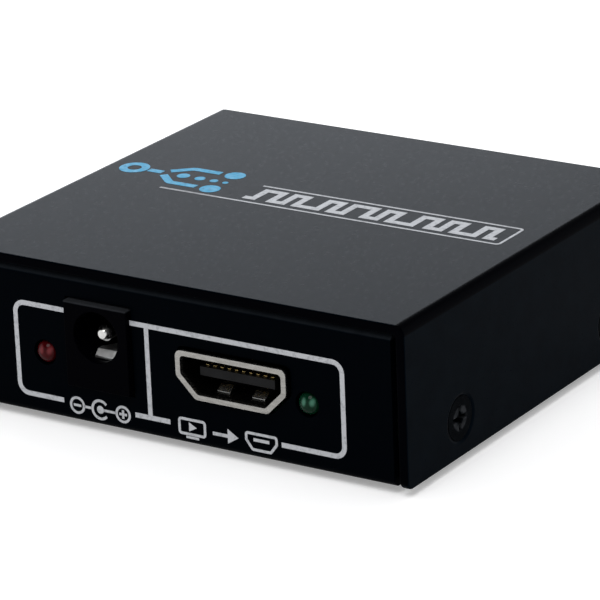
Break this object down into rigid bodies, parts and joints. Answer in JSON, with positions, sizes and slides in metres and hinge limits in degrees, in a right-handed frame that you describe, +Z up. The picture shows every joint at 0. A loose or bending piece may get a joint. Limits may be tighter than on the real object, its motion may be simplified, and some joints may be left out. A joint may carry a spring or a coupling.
{
  "type": "video signal splitter",
  "caption": "Small black metal box that splits one video input into two outputs: power jack and input socket in front, output sockets behind.",
  "frame": {"origin": "middle of the case's footprint, on the surface that the feet stand on", "axes": "+X to the right seen from the front, +Y from the front panel to the back panel, +Z up"},
  "size_m": [0.065, 0.061, 0.021],
  "materials": {
    "black_coat": "satin",
    "dark_screws": "satin",
    "black_rubber": "matte",
    "green_board": "satin",
    "plated_steel": "satin",
    "black_plastic": "satin",
    "gold_contacts": "satin",
    "tinned_leads": "satin",
    "red_lens": "gloss",
    "green_lens": "gloss",
    "can_aluminium": "satin",
    "grey_ferrite": "matte",
    "tan_ceramic": "matte",
    "white_print": "matte",
    "cyan_print": "matte"
  },
  "bodies": {
    "case": {"top_cover": "black_coat", "base_tray": "black_coat", "case_screws": "dark_screws", "rubber_feet": "black_rubber", "circuit_board": "green_board", "board_standoffs": "plated_steel", "board_screws": "plated_steel", "input_socket_shell": "plated_steel", "input_socket_insulator": "black_plastic", "input_socket_contacts": "gold_contacts", "output_1_socket_shell": "plated_steel", "output_1_socket_insulator": "black_plastic", "output_1_socket_contacts": "gold_contacts", "output_2_socket_shell": "plated_steel", "output_2_socket_insulator": "black_plastic", "output_2_socket_contacts": "gold_contacts", "jack_housing": "black_plastic", "jack_centre_pin": "plated_steel", "jack_terminals": "plated_steel", "power_light_lens": "red_lens", "power_light_leads": "tinned_leads", "signal_light_lens": "green_lens", "signal_light_leads": "tinned_leads", "output_1_light_lens": "green_lens", "output_1_light_leads": "tinned_leads", "output_2_light_lens": "green_lens", "output_2_light_leads": "tinned_leads", "splitter_chip": "black_plastic", "splitter_chip_pins": "tinned_leads", "memory_chips": "black_plastic", "memory_chip_pins": "tinned_leads", "voltage_regulator": "black_plastic", "regulator_pins": "tinned_leads", "clock_crystal": "tinned_leads", "filter_capacitors": "can_aluminium", "capacitor_bases": "black_plastic", "power_inductor": "grey_ferrite", "ceramic_capacitors": "tan_ceramic", "chip_resistors": "black_plastic"},
    "input_upper_springs": {"input_upper_springs": "plated_steel"},
    "input_lower_springs": {"input_lower_springs": "plated_steel"},
    "output_1_upper_springs": {"output_1_upper_springs": "plated_steel"},
    "output_1_lower_springs": {"output_1_lower_springs": "plated_steel"},
    "output_2_upper_springs": {"output_2_upper_springs": "plated_steel"},
    "output_2_lower_springs": {"output_2_lower_springs": "plated_steel"},
    "jack_leaf_spring": {"jack_leaf_spring": "plated_steel"}
  },
  "joints": [
    {"name": "input_upper_springs_flex", "type": "hinge", "parent": "case", "child": "input_upper_springs", "pos_m": [0.00903, -0.02282, 0.0127], "axis": [-1, 0, 0], "range_deg": [0, 8], "stiffness_Nm_per_rad": 0.06},
    {"name": "input_lower_springs_flex", "type": "hinge", "parent": "case", "child": "input_lower_springs", "pos_m": [0.00903, -0.02282, 0.00785], "axis": [1, 0, 0], "range_deg": [0, 8], "stiffness_Nm_per_rad": 0.06},
    {"name": "output_1_upper_springs_flex", "type": "hinge", "parent": "case", "child": "output_1_upper_springs", "pos_m": [0.01417, 0.02282, 0.0127], "axis": [1, 0, 0], "range_deg": [0, 8], "stiffness_Nm_per_rad": 0.06},
    {"name": "output_1_lower_springs_flex", "type": "hinge", "parent": "case", "child": "output_1_lower_springs", "pos_m": [0.01417, 0.02282, 0.00785], "axis": [-1, 0, 0], "range_deg": [0, 8], "stiffness_Nm_per_rad": 0.06},
    {"name": "output_2_upper_springs_flex", "type": "hinge", "parent": "case", "child": "output_2_upper_springs", "pos_m": [-0.01027, 0.02282, 0.0127], "axis": [1, 0, 0], "range_deg": [0, 8], "stiffness_Nm_per_rad": 0.06},
    {"name": "output_2_lower_springs_flex", "type": "hinge", "parent": "case", "child": "output_2_lower_springs", "pos_m": [-0.01027, 0.02282, 0.00785], "axis": [-1, 0, 0], "range_deg": [0, 8], "stiffness_Nm_per_rad": 0.06},
    {"name": "jack_leaf_spring_flex", "type": "hinge", "parent": "case", "child": "jack_leaf_spring", "pos_m": [-0.00995, -0.0211, 0.0089], "axis": [1, 0, 0], "range_deg": [0, 6], "stiffness_Nm_per_rad": 0.06}
  ]
}
